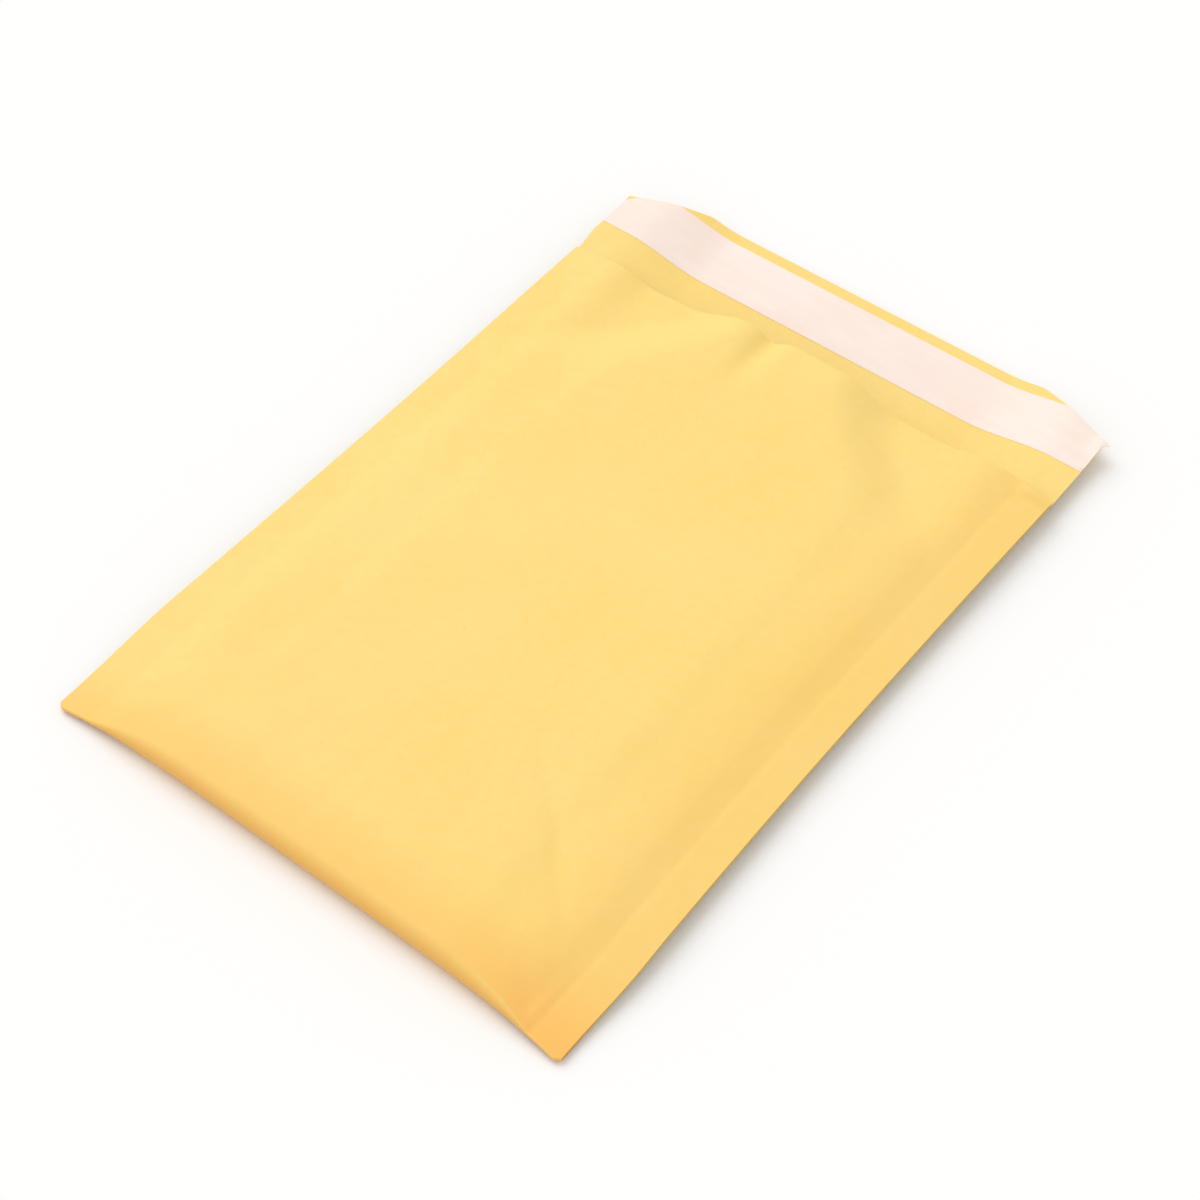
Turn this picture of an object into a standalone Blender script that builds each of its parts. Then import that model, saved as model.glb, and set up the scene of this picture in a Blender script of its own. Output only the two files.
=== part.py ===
"""A padded mailing envelope that lies open on its back, with its flap unfolded and the glue strip still covered.

The outer sheet is one length of paper, folded once across its bottom end. Its front panel, the fold, its back
panel and the flap are one solid. The bubble lining is a flat sock inside it, crushed thin in the two side seams.
Metres, +Z up. Y runs from the bottom fold to the end of the flap, and X across the envelope.
"""

import math

import bmesh
import bpy

# The flat envelope
width = 0.180
pocket_length = 0.230
flap_length = 0.040
sheet = 0.00025
seam_width = 0.0105

# The flap's cut corners and the glue under its peel-off strip
corner_cut_across = 0.027
corner_cut_along = 0.010
strip_width = 0.020
strip_inset = 0.004
strip_thickness = 0.00015
strip_overhang = 0.0023
strip_overhang_rise = 0.0045
strip_edge = 0.0006
glue_thickness = 0.0002
glue_margin_along = 0.0018
glue_margin_across = 0.003

# The bubble lining
film_height = 0.0023
film_crushed = 0.0003
lining_setback = 0.003
lining_side_margin = 0.0006
pocket_side_margin = 0.002
pocket_end_margin = 0.002
pocket_least_gap = 0.0003
pocket_round = 0.006

# Clearances between the pieces
lining_gap = 0.0003
layer_gap = 0.0002

# How the filled pocket stands: two layers of film, and the swell that the last load left
padding = 0.0050
shoulder = 0.008
fold_swell = 0.0034
middle_swell = 0.0068
mouth_swell = 0.0071
mouth_centre = -0.003
mouth_crown = (0.017, 0.041)
middle_crown = (0.024, 0.068)
mouth_reach = 0.070
wave_reach = 0.016

# How the paper sits on the table
flat_half = 0.050
lift_at_tips = 0.0012
lift_at_middle = 0.0042
lift_at_mouth = 0.0050
side_bow = 0.0012
fold_pull = 0.0022
corner_round = 0.003
corner_round_depth = 0.002

# Dents and crests of the mouth's edge: place across, spread, height
mouth_waves = (
    (-0.0110, 0.0045, -0.0031),
    (-0.0610, 0.0080, -0.0014),
    (0.0640, 0.0065, 0.0017),
)

# Mesh steps
panel_steps = 8
shoulder_steps = 2
seam_rise_steps = 4
seam_steps = 1
fold_steps = 6

half = width / 2
seam = half - seam_width
skin = sheet / 2 + lining_gap
seam_thickness = 2 * skin + film_crushed
mouth = pocket_length
flap_end = pocket_length + flap_length
strip_end = flap_end - strip_inset
strip_start = strip_end - strip_width
fold_reach = padding + fold_swell
frame_x = -strip_overhang / 2
frame_y = -flap_end / 2


def smooth_step(value, start, end):
    """0 before start, 1 after end, and an S between them."""
    share = min(1.0, max(0.0, (value - start) / (end - start)))
    return share * share * (3 - 2 * share)


def blend(first, second, share):
    return first + (second - first) * share


def stations(stops, steps):
    """Values from the first stop to the last, with so many even steps between each two stops."""
    values = [stops[0]]
    for start, end, count in zip(stops, stops[1:], steps):
        values += [blend(start, end, (i + 1) / count) for i in range(count)]
    return values


def half_width(y):
    """The sides draw in a little between the bottom corners and the mouth."""
    share = min(1.0, max(0.0, y / mouth))
    return half - side_bow * math.sin(math.pi * share)


def side_lift(y):
    """Height at which the seams stand off the table, at the middle of their thickness."""
    lift = blend(lift_at_tips, lift_at_middle, smooth_step(y, 0.0, 0.2 * mouth))
    return blend(lift, lift_at_mouth, smooth_step(y, 0.6 * mouth, mouth))


def back_height(x, y):
    """Middle of the back panel's sheet, flat on the table but for the sides, which curl up to the seams."""
    rise = side_lift(y) - seam_thickness / 2 - sheet / 2
    curl = smooth_step(abs(x), flat_half, seam)
    return sheet / 2 + max(0.0, rise) * curl


def crown(x, y):
    """Share of the swell across the pocket: a broad dome that narrows to the mouth's gape."""
    near_mouth = smooth_step(y, mouth - mouth_reach, mouth)
    centre = mouth_centre * near_mouth
    inner = blend(middle_crown[0], mouth_crown[0], near_mouth)
    outer = blend(middle_crown[1], mouth_crown[1], near_mouth)
    return 1 - smooth_step(abs(x - centre), inner, outer)


def swell(y):
    """Height of the dome along the pocket, the same from the fold to where the panel starts."""
    height = blend(fold_swell, middle_swell, smooth_step(y, fold_reach, 0.5 * mouth))
    return blend(height, mouth_swell, smooth_step(y, 0.7 * mouth, mouth))


def mouth_wave(x, y):
    height = sum(size * math.exp(-(((x - place) / spread) ** 2)) for place, spread, size in mouth_waves)
    return height * math.exp(-((mouth - y) / wave_reach) ** 2)


def thickness(x, y):
    """Distance between the middles of the back and the front sheet."""
    inward = max(0.0, seam - abs(x))
    pad = (padding - seam_thickness) * (1 - math.exp(-inward / shoulder))
    beside_seam = smooth_step(inward, 0.0, shoulder)
    return seam_thickness + pad + (swell(y) * crown(x, y) + mouth_wave(x, y)) * beside_seam


def fold_radius(x):
    return thickness(x, 0.0) / 2


def fold_line(x):
    """Where the bottom fold's outermost line lies: drawn in between the tips, and rounded at the two corners."""
    share = min(1.0, abs(x) / (half - corner_round))
    rounding = max(0.0, abs(x) - (half - corner_round)) / corner_round
    return fold_pull * (1 - share**5) + corner_round_depth * rounding**2


def panel_start(x):
    return fold_line(x) + fold_radius(x)


def flap_edge(x):
    """The flap's end, straight across the middle and cut off at both corners."""
    past = max(0.0, abs(x) - (half - corner_cut_across))
    return flap_end - corner_cut_along * past / corner_cut_across


def columns():
    """Stations across the whole width, closest together where the padding rises from a seam."""
    stops = (0.0, 0.5 * half, half - 0.025, seam, half - corner_round, half)
    steps = (panel_steps, shoulder_steps, seam_rise_steps, seam_steps, seam_steps)
    right = stations(stops, steps)
    return [-x for x in reversed(right[1:])] + right


def panel_rows():
    """Distances from the mouth, as shares of a panel's length: close by the mouth and by the fold."""
    stops = (0.0, lining_setback / mouth, 0.09, 0.26, 0.78, 0.94, 1.0)
    return stations(stops, (1, 3, 3, 5, 3, 1))


def row_y(x, share):
    """Y of a panel's row: its share of the way from the mouth to where the fold starts."""
    return blend(mouth, panel_start(x), share)


def placed(x, y, z):
    """A point of the envelope in the part's own frame, with its side drawn in as its length asks."""
    return (x * half_width(y) / half + frame_x, y + frame_y, z)


def fold_point(x, angle, inset):
    """A point on the bottom fold, from 0 at the outermost line to a right angle up or down."""
    radius = fold_radius(x)
    start = panel_start(x)
    middle = back_height(x, start) + radius
    reach = radius - inset
    return placed(x, start - reach * math.cos(angle), middle + reach * math.sin(angle))


def mapped_grid(across, along, point, diagonals="FIXED"):
    """A grid of across by along vertices, each moved to where point(column, row) puts it.

    The paper and the lining run opposite ways, so they name opposite diagonals, and their faces stay parallel.
    """
    mesh = bmesh.new()
    bmesh.ops.create_grid(mesh, x_segments=across - 1, y_segments=along - 1, size=1.0)
    for vertex in mesh.verts:
        column = round((vertex.co.x + 1) / 2 * (across - 1))
        row = round((vertex.co.y + 1) / 2 * (along - 1))
        vertex.co = point(column, row)
    bmesh.ops.triangulate(mesh, faces=mesh.faces[:], quad_method=diagonals)
    return mesh


def finish(mesh, name, material, solid=None):
    """Turns a bmesh into a named object, with a wall of the given thickness if it is a sheet."""
    bmesh.ops.recalc_face_normals(mesh, faces=mesh.faces[:])
    data = bpy.data.meshes.new(name)
    mesh.to_mesh(data)
    mesh.free()
    data.shade_smooth()
    data.materials.append(material)
    piece = bpy.data.objects.new(name, data)
    bpy.context.scene.collection.objects.link(piece)
    if solid:
        wall = piece.modifiers.new("Wall", "SOLIDIFY")
        wall.thickness = solid
        wall.offset = 0.0
        wall.use_even_offset = True
        wall.use_rim = True
    data.set_sharp_from_angle(angle=math.radians(40))
    return piece


def finish_material(name, colour, roughness):
    material = bpy.data.materials.new(name)
    material.use_nodes = True
    shader = material.node_tree.nodes["Principled BSDF"]
    shader.inputs["Base Color"].default_value = (*colour, 1.0)
    shader.inputs["Roughness"].default_value = roughness
    shader.inputs["Metallic"].default_value = 0.0
    return material


def outer_paper(material):
    """Front panel, bottom fold, back panel and flap, as one sheet."""
    across = columns()
    panel = panel_rows()
    turn = [math.pi / 2 - math.pi * i / fold_steps for i in range(1, fold_steps)]
    flap = stations((0.0, 0.4, 0.9, 1.0), (2, 2, 1))[1:]
    front_rows = len(panel)
    back_rows = front_rows + len(turn)
    flap_rows = back_rows + len(panel)

    def point(column, row):
        x = across[column]
        if row < front_rows:
            y = row_y(x, panel[row])
            return placed(x, y, back_height(x, y) + thickness(x, y))
        if row < back_rows:
            return fold_point(x, turn[row - front_rows], 0.0)
        if row < flap_rows:
            y = row_y(x, panel[flap_rows - 1 - row])
            return placed(x, y, back_height(x, y))
        y = blend(mouth, flap_edge(x), flap[row - flap_rows])
        return placed(x, y, back_height(x, y))

    mesh = mapped_grid(len(across), flap_rows + len(flap), point)
    return finish(mesh, "outer_paper", material, sheet)


def bubble_lining(material):
    """A sock of film: out along its outer face from the fold to the lip, and back along its pocket."""
    across = columns()
    last = len(across) - 1
    panel = [share for share in panel_rows() if share > 0.0]
    turn = [math.pi / 2 * i / (fold_steps // 2) for i in range(fold_steps // 2)]
    outer = list(reversed(panel))
    lip = len(turn) + len(outer)
    pocket_half = seam - pocket_side_margin

    def outer_point(x, upper, row):
        side = 1 if upper else -1
        at_edge = abs(x) >= half
        if row < len(turn) and not at_edge:
            return fold_point(x, side * turn[row], skin)
        y = row_y(x, outer[max(0, row - len(turn))])
        middle = back_height(x, y) + thickness(x, y) / 2
        if at_edge:
            return placed(math.copysign(half - lining_side_margin, x), y, middle)
        return placed(x, y, middle + side * (thickness(x, y) / 2 - skin))

    def pocket_point(x, upper, row):
        side = 1 if upper else -1
        x = math.copysign(min(abs(x), pocket_half), x)
        end = panel_start(x) + pocket_end_margin
        lip_y = row_y(x, panel[0])
        share = (panel[row - lip] - panel[0]) / (1 - panel[0])
        y = blend(lip_y, end, share)
        middle = back_height(x, y) + thickness(x, y) / 2
        gap = max(pocket_least_gap / 2, thickness(x, y) / 2 - skin - film_height)
        beside = math.sqrt(max(0.0, 1 - (abs(x) / pocket_half) ** 8))
        closing = math.sqrt(min(1.0, max(0.0, (y - end) / pocket_round)))
        return placed(x, y, middle + side * gap * beside * closing)

    def point(column, row):
        upper = column <= last
        x = across[column] if upper else across[2 * last - column]
        return outer_point(x, upper, row) if row < lip else pocket_point(x, upper, row)

    mesh = mapped_grid(2 * last + 1, lip + len(panel), point, "ALTERNATE")
    bmesh.ops.remove_doubles(mesh, verts=mesh.verts[:], dist=1e-7)
    bmesh.ops.dissolve_degenerate(mesh, edges=mesh.edges[:], dist=1e-7)
    return finish(mesh, "bubble_lining", material)


def flap_band(name, material, ends, start, end, lift, solid):
    """A band that follows the flap's inner face, at a height over the middle of its sheet."""
    left, right = ends
    across = [left] + [x for x in columns() if left < x < right] + [right]
    rows = stations((0.0, 1.0), (2,))

    def point(column, row):
        x = across[column]
        y = blend(start(x), end(x), rows[row])
        return placed(x, y, back_height(x, y) + lift)

    return finish(mapped_grid(len(across), len(rows), point), name, material, solid)


def glue_band(material):
    reach = half - glue_margin_across
    lift = sheet / 2 + layer_gap + glue_thickness / 2

    def end(x):
        return min(strip_end, flap_edge(x) - strip_edge) - glue_margin_along

    def start(x):
        return strip_start + glue_margin_along

    return flap_band("glue_band", material, (-reach, reach), start, end, lift, glue_thickness)


def peel_strip(material):
    lift = sheet / 2 + layer_gap + glue_thickness + layer_gap + strip_thickness / 2

    def end(x):
        return min(strip_end, flap_edge(x) - strip_edge)

    def start(x):
        return strip_start + strip_overhang_rise * 2 * max(0.0, x - half) / strip_overhang

    return flap_band("peel_strip", material, (-half, half + strip_overhang), start, end, lift, strip_thickness)


def main():
    for old in list(bpy.data.objects):
        bpy.data.objects.remove(old)
    outer_paper(finish_material("envelope_paper", (0.98, 0.73, 0.24), 0.75))
    bubble_lining(finish_material("bubble_film", (0.90, 0.92, 0.93), 0.25))
    glue_band(finish_material("clear_glue", (0.92, 0.88, 0.74), 0.30))
    peel_strip(finish_material("coated_release_paper", (0.98, 0.86, 0.79), 0.35))


main()
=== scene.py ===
"""The looks of a padded mailing envelope that lies open on its back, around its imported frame.

Four pieces stand for the frame's four nodes: the outer paper, the bubble lining, the band of glue on the
flap and the peel-off strip over it. Metres, +Z up. Flat measures count X from the envelope's middle line and
Y from its bottom corners, and EnvelopeForm.placed puts them into the frame.
"""

import logging
import math
from dataclasses import dataclass
from enum import Enum
from typing import Any, Callable, Mapping, Optional, Sequence, Union

import bmesh
import bpy
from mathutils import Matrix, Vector, noise


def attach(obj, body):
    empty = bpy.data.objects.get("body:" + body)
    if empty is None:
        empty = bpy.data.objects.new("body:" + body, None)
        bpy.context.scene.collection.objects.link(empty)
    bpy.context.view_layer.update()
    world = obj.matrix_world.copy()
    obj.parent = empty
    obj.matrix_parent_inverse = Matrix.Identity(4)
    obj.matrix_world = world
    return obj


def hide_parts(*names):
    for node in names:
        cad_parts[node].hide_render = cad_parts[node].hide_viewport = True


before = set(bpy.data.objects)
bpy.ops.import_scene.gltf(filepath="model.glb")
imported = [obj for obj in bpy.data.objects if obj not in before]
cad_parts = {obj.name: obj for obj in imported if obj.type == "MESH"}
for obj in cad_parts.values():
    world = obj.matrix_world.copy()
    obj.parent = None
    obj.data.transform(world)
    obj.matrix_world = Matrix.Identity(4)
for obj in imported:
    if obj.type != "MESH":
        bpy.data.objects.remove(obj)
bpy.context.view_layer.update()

log = logging.getLogger("padded_envelope")

Colour = tuple[float, float, float]
Axes = tuple[float, float, float]
FlatPoint = tuple[float, float]
Span = tuple[float, float]
PointOf = Callable[[int, int], Vector]
ShareOf = Callable[[int, int], float]
# Mesh attribute holding painted shade: a share of orange tone that stands in for the shade on the bottom
# fold, the right slope and the lower right corner.
PAINTED_SHADE_LAYER = "painted_shade"
WHITE: Colour = (1.0, 1.0, 1.0)
SHARP_ANGLE = math.radians(40)


class Seed(Enum):
    """A number for each noise pattern, so that no two are alike."""

    COCKLE = 3.1
    RIPPLE = 7.7
    FOLD_STREAK = 1.3
    PUCKER = 5.9
    BACK_COCKLE = 9.4
    GLUE_EDGE = 2.5
    GLUE_FACE = 6.1
    STRIP_WAVE = 4.2


def smooth_step(value: float, start: float, end: float) -> float:
    """Follows an S from 0 to 1.

    Args:
        value: where to read the S.
        start: the value at which it leaves 0.
        end: the value at which it reaches 1.

    Returns:
        The height of the S, from 0 to 1.
    """
    share = min(1.0, max(0.0, (value - start) / (end - start)))
    return share * share * (3 - 2 * share)


def blend(first: float, second: float, share: float) -> float:
    """Mixes two numbers.

    Args:
        first: the number at a share of 0.
        second: the number at a share of 1.
        share: how far to go from the first to the second.

    Returns:
        The mixed number.
    """
    return first + (second - first) * share


def stations(stops: Sequence[float], steps: Sequence[int]) -> list[float]:
    """Sets out values with even steps between each two stops.

    Args:
        stops: the values that are met exactly.
        steps: the number of steps from each stop to the next.

    Returns:
        All values, from the first stop to the last.
    """
    values = [stops[0]]
    for start, end, count in zip(stops, stops[1:], steps):
        values += [blend(start, end, (i + 1) / count) for i in range(count)]
    return values


def soft_noise(x: float, y: float, across: float, along: float, seed: Seed) -> float:
    """Reads smooth noise on the flat sheet.

    Args:
        x: place across the sheet.
        y: place along the sheet.
        across: length of one wave across.
        along: length of one wave along.
        seed: the pattern.

    Returns:
        A height between about -1 and 1.
    """
    return noise.noise(Vector((x / across, y / along, seed.value)))


@dataclass(frozen=True)
class Crease:
    """A crease, ridge or dent pressed into the paper along a short path.

    The rise is in metres, and below zero for a valley. The spread is how far its slopes reach to each side.
    """

    path: tuple[FlatPoint, ...]
    rise: float
    spread: float
    rounding: float = 0.0007
    end_share: float = 0.12

    def nearest(self, x: float, y: float) -> tuple[float, float]:
        """Finds the nearest point of the path.

        Args:
            x: place across the sheet.
            y: place along the sheet.

        Returns:
            The distance to the path, and the share of the path that lies before the nearest point.
        """
        best = (math.inf, 0.0)
        legs = len(self.path) - 1
        for leg, (start, end) in enumerate(zip(self.path, self.path[1:])):
            run = (end[0] - start[0], end[1] - start[1])
            length = run[0] ** 2 + run[1] ** 2
            share = ((x - start[0]) * run[0] + (y - start[1]) * run[1]) / length
            share = min(1.0, max(0.0, share))
            away = math.hypot(x - start[0] - share * run[0], y - start[1] - share * run[1])
            best = min(best, (away, (leg + share) / legs))
        return best

    def height(self, x: float, y: float) -> float:
        """Height that the crease adds at a place, fading out towards both of its ends.

        Args:
            x: place across the sheet.
            y: place along the sheet.

        Returns:
            The height, below zero in a valley.
        """
        away, share = self.nearest(x, y)
        slope = math.hypot(away, self.rounding) - self.rounding
        taper = math.sin(math.pi * blend(self.end_share, 1 - self.end_share, share))
        return self.rise * taper * math.exp(-slope / self.spread)


# The long valley that runs up from the bottom right corner, and the dent below it
LONG_VALLEY = Crease(
    path=(
        (0.074, 0.0255),
        (0.067, 0.031),
        (0.059, 0.037),
        (0.047, 0.052),
        (0.042, 0.056),
        (0.027, 0.069),
    ),
    rise=-0.0011,
    spread=0.0042,
)
CORNER_DENT = Crease(path=((0.067, 0.012), (0.074, 0.0075), (0.077, 0.005)), rise=-0.0007, spread=0.0030)
CORNER_RIDGE = Crease(path=((0.0765, 0.003), (0.0775, 0.016)), rise=0.00035, spread=0.0013)
# Small creases at the bottom left corner
LEFT_CREASE = Crease(
    path=((-0.075, 0.015), (-0.068, 0.0195), (-0.061, 0.021)),
    rise=-0.00045,
    spread=0.0018,
)
LEFT_RIDGE = Crease(path=((-0.071, 0.009), (-0.064, 0.0145)), rise=0.00045, spread=0.0018)
# The dip under the mouth, and the crest beside it
MOUTH_DIP = Crease(path=((-0.0150, 0.230), (-0.0135, 0.220), (-0.0115, 0.211)), rise=-0.0005, spread=0.0034)
MOUTH_CREST = Crease(path=((-0.0060, 0.230), (-0.0075, 0.219)), rise=0.0002, spread=0.0032)
MOUTH_SLOPE_CREASE = Crease(
    path=((0.031, 0.229), (0.030, 0.219), (0.034, 0.211)),
    rise=-0.0003,
    spread=0.0035,
)
# Crinkles where the mouth's right corner was pressed into the seam
CORNER_CRINKLES = (
    Crease(path=((0.0790, 0.2285), (0.0885, 0.2270)), rise=0.00110, spread=0.0011),
    Crease(path=((0.0790, 0.2235), (0.0855, 0.2250)), rise=-0.00035, spread=0.0010),
)
FRONT_CREASES = (
    LONG_VALLEY,
    CORNER_DENT,
    CORNER_RIDGE,
    LEFT_CREASE,
    LEFT_RIDGE,
    MOUTH_DIP,
    MOUTH_CREST,
    MOUTH_SLOPE_CREASE,
    *CORNER_CRINKLES,
)
FLAP_CREASES = (Crease(path=((-0.0775, 0.2305), (-0.0768, 0.2365)), rise=-0.00020, spread=0.0008),)


@dataclass(frozen=True)
class Wrinkles:
    """Soft wrinkles of the filled front panel, as waves that fade away from what causes them."""

    cockle: float = 0.00028
    cockle_wave: float = 0.030
    ripple: float = 0.00007
    ripple_wave: float = 0.0085
    fold_streak: float = 0.00026
    fold_streak_width: float = 0.0075
    fold_streak_length: float = 0.070
    fold_streak_reach: float = 0.045
    pucker: float = 0.00016
    pucker_wave: float = 0.0050
    pucker_reach: float = 0.0065
    pressed_line: float = 0.00014
    pressed_line_width: float = 0.0008
    loose_start: float = 0.010
    ripple_stretch: float = 1.6
    fold_streak_fan: float = 0.9
    fold_streak_start: Span = (0.004, 0.016)
    pucker_start: float = 0.002
    pucker_slant: float = 0.35
    pucker_length: float = 0.010

    def height(self, x: float, y: float, inward: float, from_mouth: float) -> float:
        """Adds up the wrinkles at a place.

        Args:
            x: place across the sheet.
            y: place along the sheet.
            inward: distance from the side seam's inner line, below zero on the seam.
            from_mouth: distance from the mouth's edge.

        Returns:
            The height to add to the panel.
        """
        line = -self.pressed_line * math.exp(-((inward / self.pressed_line_width) ** 2)) if x > 0 else 0.0
        loose = smooth_step(inward, 0.0, self.loose_start) * smooth_step(from_mouth, 0.0, self.loose_start)
        broad = self.cockle * soft_noise(x, y, self.cockle_wave, self.cockle_wave, Seed.COCKLE)
        ripple_length = self.ripple_stretch * self.ripple_wave
        fine = self.ripple * soft_noise(x, y, self.ripple_wave, ripple_length, Seed.RIPPLE)
        fan = x * (1 + self.fold_streak_fan * y / self.fold_streak_length)
        streak = soft_noise(fan, y, self.fold_streak_width, self.fold_streak_length, Seed.FOLD_STREAK)
        streak *= self.fold_streak * math.exp(-y / self.fold_streak_reach)
        streak *= smooth_step(y, *self.fold_streak_start)
        beside = math.exp(-((inward - self.pucker_start) / self.pucker_reach) ** 2)
        beside *= smooth_step(inward, 0.0, self.pucker_start)
        pull = soft_noise(self.pucker_slant * x, y, self.pucker_length, self.pucker_wave, Seed.PUCKER)
        return line + loose * (broad + fine + streak) + self.pucker * beside * pull


@dataclass(frozen=True)
class EnvelopeForm:
    """The envelope's sizes, and the functions that say where its sheets run."""

    width: float = 0.180
    pocket_length: float = 0.230
    flap_length: float = 0.040
    seam_width: float = 0.0105
    corner_cut_across: float = 0.027
    corner_cut_along: float = 0.010
    strip_overhang: float = 0.0023
    sheet: float = 0.00025
    lining_gap: float = 0.0003
    film_crushed: float = 0.0003
    padding: float = 0.0050
    shoulder: float = 0.008
    shoulder_start: float = 0.0035
    band_tilt: float = 0.0010
    fold_swell: float = 0.0034
    middle_swell: float = 0.0046
    mouth_swell: float = 0.0071
    mouth_centre: float = -0.003
    mouth_crown: FlatPoint = (0.017, 0.041)
    middle_crown: FlatPoint = (0.044, 0.080)
    mouth_reach: float = 0.050
    wave_reach: float = 0.016
    flat_half: float = 0.050
    lift_at_tips: float = 0.0012
    lift_at_middle: float = 0.0042
    lift_at_mouth: float = 0.0050
    left_draw: float = 0.0017
    left_bow: float = 0.0007
    left_release: float = 0.013
    right_bow: float = 0.0017
    right_tip_draw: float = 0.0017
    right_tip_reach: float = 0.035
    flap_curl: float = 0.0018
    fold_pull: float = 0.0022
    corner_round: float = 0.0022
    corner_round_depth: float = 0.0013
    mouth_waves: tuple[tuple[float, float, float], ...] = (
        (-0.0110, 0.0045, -0.0031),
        (-0.0610, 0.0080, -0.0014),
        (0.0640, 0.0085, 0.0009),
    )
    tips_share: float = 0.2
    mouth_lift_share: float = 0.6
    middle_share: float = 0.5
    mouth_swell_share: float = 0.7
    fold_pull_power: int = 5
    relief_start: Span = (0.001, 0.007)
    wrinkles: Wrinkles = Wrinkles()

    @property
    def half(self) -> float:
        """Half of the flat width."""
        return self.width / 2

    @property
    def seam(self) -> float:
        """Distance from the middle line to the inner line of a side seam."""
        return self.half - self.seam_width

    @property
    def skin(self) -> float:
        """Distance from the middle of the paper to the film's outer face."""
        return self.sheet / 2 + self.lining_gap

    @property
    def seam_thickness(self) -> float:
        """Distance between the middles of the two papers in a side seam."""
        return 2 * self.skin + self.film_crushed

    @property
    def flap_end(self) -> float:
        """Where the flap ends, along the sheet."""
        return self.pocket_length + self.flap_length

    def draw(self, x: float, y: float) -> float:
        """How far the side on which x lies is drawn in: the left all along the pocket, the right at its tip.

        Args:
            x: place across the sheet.
            y: place along the sheet.

        Returns:
            The distance at the sheet's edge.
        """
        bow = math.sin(math.pi * min(1.0, max(0.0, y / self.pocket_length)))
        if x < 0:
            held = 1 - smooth_step(y, self.pocket_length, self.pocket_length + self.left_release)
            return self.left_draw * held + self.left_bow * bow
        return self.right_bow * bow + self.right_tip_draw * (1 - smooth_step(y, 0.0, self.right_tip_reach))

    def side_lift(self, y: float) -> float:
        """Height of a side seam's middle above the table.

        Args:
            y: place along the sheet.

        Returns:
            The height.
        """
        mouth = self.pocket_length
        lift = blend(self.lift_at_tips, self.lift_at_middle, smooth_step(y, 0.0, self.tips_share * mouth))
        return blend(lift, self.lift_at_mouth, smooth_step(y, self.mouth_lift_share * mouth, mouth))

    def back_height(self, x: float, y: float) -> float:
        """Height of the back paper's middle.

        It is flat but for the sides, which curl up to the seams, the seams, which hang down a little towards
        their edges, and the end of the flap, which curls up.

        Args:
            x: place across the sheet.
            y: place along the sheet.

        Returns:
            The height above the table.
        """
        mouth = self.pocket_length
        rise = self.side_lift(y) - self.seam_thickness / 2 - self.sheet / 2
        over = max(0.0, (abs(x) - self.seam) / self.seam_width)
        tilt = self.band_tilt * (1 - over) * (1 - smooth_step(y, mouth, mouth + self.left_release))
        curl = (max(0.0, rise) + tilt) * smooth_step(abs(x), self.flat_half, self.seam)
        end_curl = self.flap_curl * smooth_step(y, mouth + self.flap_length / 2, self.flap_end)
        return self.sheet / 2 + curl + end_curl

    def crown(self, x: float, y: float) -> float:
        """Share of the swell across the pocket: a broad dome that narrows to the mouth's gape.

        Args:
            x: place across the sheet.
            y: place along the sheet.

        Returns:
            The share, from 0 to 1.
        """
        mouth = self.pocket_length
        near_mouth = smooth_step(y, mouth - self.mouth_reach, mouth)
        inner = blend(self.middle_crown[0], self.mouth_crown[0], near_mouth)
        outer = blend(self.middle_crown[1], self.mouth_crown[1], near_mouth)
        return 1 - smooth_step(abs(x - self.mouth_centre * near_mouth), inner, outer)

    def swell(self, y: float) -> float:
        """Height of the dome along the pocket.

        Args:
            y: place along the sheet.

        Returns:
            The height over the padding.
        """
        mouth = self.pocket_length
        fold_reach = self.padding + self.fold_swell
        rising = smooth_step(y, fold_reach, self.middle_share * mouth)
        height = blend(self.fold_swell, self.middle_swell, rising)
        return blend(height, self.mouth_swell, smooth_step(y, self.mouth_swell_share * mouth, mouth))

    def mouth_wave(self, x: float, y: float) -> float:
        """Dents and crests of the mouth's edge, which fade into the panel."""
        waves = sum(size * math.exp(-(((x - at) / spread) ** 2)) for at, spread, size in self.mouth_waves)
        return waves * math.exp(-(((self.pocket_length - y) / self.wave_reach) ** 2))

    def thickness(self, x: float, y: float) -> float:
        """Distance between the middles of the back and the front paper, before its wrinkles.

        Args:
            x: place across the sheet.
            y: place along the sheet.

        Returns:
            The distance.
        """
        inward = max(0.0, self.seam - abs(x))
        eased = inward * inward / (inward + self.shoulder_start)
        pad = (self.padding - self.seam_thickness) * (1 - math.exp(-eased / self.shoulder))
        domed = self.swell(y) * self.crown(x, y) + self.mouth_wave(x, y)
        return self.seam_thickness + pad + domed * smooth_step(inward, 0.0, self.shoulder)

    def fold_radius(self, x: float) -> float:
        """Radius of the bottom fold."""
        return self.thickness(x, 0.0) / 2

    def panel_start(self, x: float) -> float:
        """Where both panels leave the bottom fold, which is drawn in between its rounded corners.

        Args:
            x: place across the sheet.

        Returns:
            The place along the sheet.
        """
        straight = self.half - self.corner_round
        rounding = max(0.0, abs(x) - straight) / self.corner_round
        drawn_in = self.fold_pull * (1 - min(1.0, abs(x) / straight) ** self.fold_pull_power)
        return drawn_in + self.corner_round_depth * rounding**2 + self.fold_radius(x)

    def flap_edge(self, x: float) -> float:
        """The flap's end, straight across the middle and cut off at both corners."""
        past = max(0.0, abs(x) - (self.half - self.corner_cut_across))
        return self.flap_end - self.corner_cut_along * past / self.corner_cut_across

    def relief(self, x: float, y: float) -> float:
        """Height of all creases and wrinkles of the front panel at a place.

        Args:
            x: place across the sheet.
            y: place along the sheet.

        Returns:
            The height to add to the panel.
        """
        inward = self.seam - abs(x)
        pressed = sum(crease.height(x, y) for crease in FRONT_CREASES)
        pressed *= smooth_step(y, *self.relief_start)
        return pressed + self.wrinkles.height(x, y, inward, self.pocket_length - y)

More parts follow.
